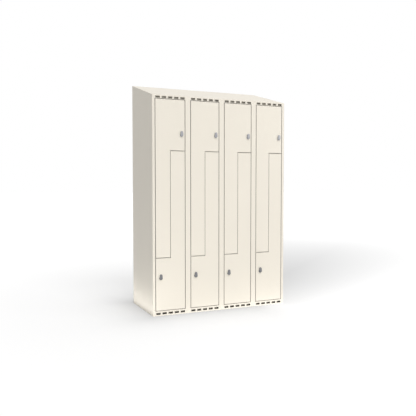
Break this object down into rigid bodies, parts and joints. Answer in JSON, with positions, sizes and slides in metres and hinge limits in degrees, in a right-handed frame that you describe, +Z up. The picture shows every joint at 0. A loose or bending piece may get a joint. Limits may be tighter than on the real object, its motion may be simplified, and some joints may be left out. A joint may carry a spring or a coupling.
{
  "type": "z locker",
  "caption": "Steel changing-room locker with a sloping roof and columns of interlocking L-shaped doors, vent slots and turn-lever locks.",
  "frame": {"origin": "middle of the base at floor level, halfway across the width and the depth of the carcass; the lock levers stand out in front and don't count", "axes": "+Z up, -Y out of the doors, +X along the row of columns, to the right as seen from in front"},
  "size_m": [1.2, 0.5636, 1.9],
  "materials": {
    "carcass_paint": "satin cream powder coat",
    "frame_paint": "satin cream powder coat",
    "divider_paint": "satin cream powder coat",
    "door_paint": "satin cream powder coat",
    "rod_steel": "bright zinc-plated steel",
    "lock_case_zinc": "satin grey die-cast zinc",
    "lock_lever_zinc": "satin grey die-cast zinc",
    "hook_zinc": "zinc-plated steel strip"
  },
  "bodies": {
    "carcass": {"side_left": "carcass_paint", "side_right": "carcass_paint", "back_panel": "carcass_paint", "base_panel": "carcass_paint", "sloping_roof": "carcass_paint", "partition_1": "carcass_paint", "partition_2": "carcass_paint", "partition_3": "carcass_paint", "top_rail": "frame_paint", "bottom_rail": "frame_paint", "stile_1": "frame_paint", "stile_2": "frame_paint", "stile_3": "frame_paint", "stile_4": "frame_paint", "stile_5": "frame_paint", "z_divider_1": "divider_paint", "z_divider_2": "divider_paint", "z_divider_3": "divider_paint", "z_divider_4": "divider_paint", "hinge_rod_upper_1": "rod_steel", "hinge_rod_upper_2": "rod_steel", "hinge_rod_upper_3": "rod_steel", "hinge_rod_upper_4": "rod_steel", "hinge_rod_lower_1": "rod_steel", "hinge_rod_lower_2": "rod_steel", "hinge_rod_lower_3": "rod_steel", "hinge_rod_lower_4": "rod_steel", "coat_hook_upper_1": "hook_zinc", "coat_hook_upper_2": "hook_zinc", "coat_hook_upper_3": "hook_zinc", "coat_hook_upper_4": "hook_zinc", "coat_hook_lower_1": "hook_zinc", "coat_hook_lower_2": "hook_zinc", "coat_hook_lower_3": "hook_zinc", "coat_hook_lower_4": "hook_zinc"},
    "upper_door_1": {"upper_door_1": "door_paint", "lock_case_upper_1": "lock_case_zinc"},
    "lock_lever_upper_1": {"lock_lever_upper_1": "lock_lever_zinc"},
    "upper_door_2": {"upper_door_2": "door_paint", "lock_case_upper_2": "lock_case_zinc"},
    "lock_lever_upper_2": {"lock_lever_upper_2": "lock_lever_zinc"},
    "upper_door_3": {"upper_door_3": "door_paint", "lock_case_upper_3": "lock_case_zinc"},
    "lock_lever_upper_3": {"lock_lever_upper_3": "lock_lever_zinc"},
    "upper_door_4": {"upper_door_4": "door_paint", "lock_case_upper_4": "lock_case_zinc"},
    "lock_lever_upper_4": {"lock_lever_upper_4": "lock_lever_zinc"},
    "lower_door_1": {"lower_door_1": "door_paint", "lock_case_lower_1": "lock_case_zinc"},
    "lock_lever_lower_1": {"lock_lever_lower_1": "lock_lever_zinc"},
    "lower_door_2": {"lower_door_2": "door_paint", "lock_case_lower_2": "lock_case_zinc"},
    "lock_lever_lower_2": {"lock_lever_lower_2": "lock_lever_zinc"},
    "lower_door_3": {"lower_door_3": "door_paint", "lock_case_lower_3": "lock_case_zinc"},
    "lock_lever_lower_3": {"lock_lever_lower_3": "lock_lever_zinc"},
    "lower_door_4": {"lower_door_4": "door_paint", "lock_case_lower_4": "lock_case_zinc"},
    "lock_lever_lower_4": {"lock_lever_lower_4": "lock_lever_zinc"}
  },
  "joints": [
    {"name": "upper_door_1_hinge", "type": "hinge", "parent": "carcass", "child": "upper_door_1", "pos_m": [-0.5645, -0.27, 1.09194], "axis": [0, 0, -1], "range_deg": [0, 100]},
    {"name": "upper_lock_1_turn", "type": "hinge", "parent": "upper_door_1", "child": "lock_lever_upper_1", "pos_m": [-0.3545, -0.275, 1.4388], "axis": [0, -1, 0], "range_deg": [0, 90]},
    {"name": "upper_door_2_hinge", "type": "hinge", "parent": "carcass", "child": "upper_door_2", "pos_m": [-0.2645, -0.27, 1.09194], "axis": [0, 0, -1], "range_deg": [0, 100]},
    {"name": "upper_lock_2_turn", "type": "hinge", "parent": "upper_door_2", "child": "lock_lever_upper_2", "pos_m": [-0.0545, -0.275, 1.4388], "axis": [0, -1, 0], "range_deg": [0, 90]},
    {"name": "upper_door_3_hinge", "type": "hinge", "parent": "carcass", "child": "upper_door_3", "pos_m": [0.0355, -0.27, 1.09194], "axis": [0, 0, -1], "range_deg": [0, 100]},
    {"name": "upper_lock_3_turn", "type": "hinge", "parent": "upper_door_3", "child": "lock_lever_upper_3", "pos_m": [0.2455, -0.275, 1.4388], "axis": [0, -1, 0], "range_deg": [0, 90]},
    {"name": "upper_door_4_hinge", "type": "hinge", "parent": "carcass", "child": "upper_door_4", "pos_m": [0.3355, -0.27, 1.09194], "axis": [0, 0, -1], "range_deg": [0, 100]},
    {"name": "upper_lock_4_turn", "type": "hinge", "parent": "upper_door_4", "child": "lock_lever_upper_4", "pos_m": [0.5455, -0.275, 1.4388], "axis": [0, -1, 0], "range_deg": [0, 90]},
    {"name": "lower_door_1_hinge", "type": "hinge", "parent": "carcass", "child": "lower_door_1", "pos_m": [-0.3355, -0.27, 0.67355], "axis": [0, 0, 1], "range_deg": [0, 100]},
    {"name": "lower_lock_1_turn", "type": "hinge", "parent": "lower_door_1", "child": "lock_lever_lower_1", "pos_m": [-0.533, -0.275, 0.30108], "axis": [0, 1, 0], "range_deg": [0, 90]},
    {"name": "lower_door_2_hinge", "type": "hinge", "parent": "carcass", "child": "lower_door_2", "pos_m": [-0.0355, -0.27, 0.67355], "axis": [0, 0, 1], "range_deg": [0, 100]},
    {"name": "lower_lock_2_turn", "type": "hinge", "parent": "lower_door_2", "child": "lock_lever_lower_2", "pos_m": [-0.233, -0.275, 0.30108], "axis": [0, 1, 0], "range_deg": [0, 90]},
    {"name": "lower_door_3_hinge", "type": "hinge", "parent": "carcass", "child": "lower_door_3", "pos_m": [0.2645, -0.27, 0.67355], "axis": [0, 0, 1], "range_deg": [0, 100]},
    {"name": "lower_lock_3_turn", "type": "hinge", "parent": "lower_door_3", "child": "lock_lever_lower_3", "pos_m": [0.067, -0.275, 0.30108], "axis": [0, 1, 0], "range_deg": [0, 90]},
    {"name": "lower_door_4_hinge", "type": "hinge", "parent": "carcass", "child": "lower_door_4", "pos_m": [0.5645, -0.27, 0.67355], "axis": [0, 0, 1], "range_deg": [0, 100]},
    {"name": "lower_lock_4_turn", "type": "hinge", "parent": "lower_door_4", "child": "lock_lever_lower_4", "pos_m": [0.367, -0.275, 0.30108], "axis": [0, 1, 0], "range_deg": [0, 90]}
  ]
}
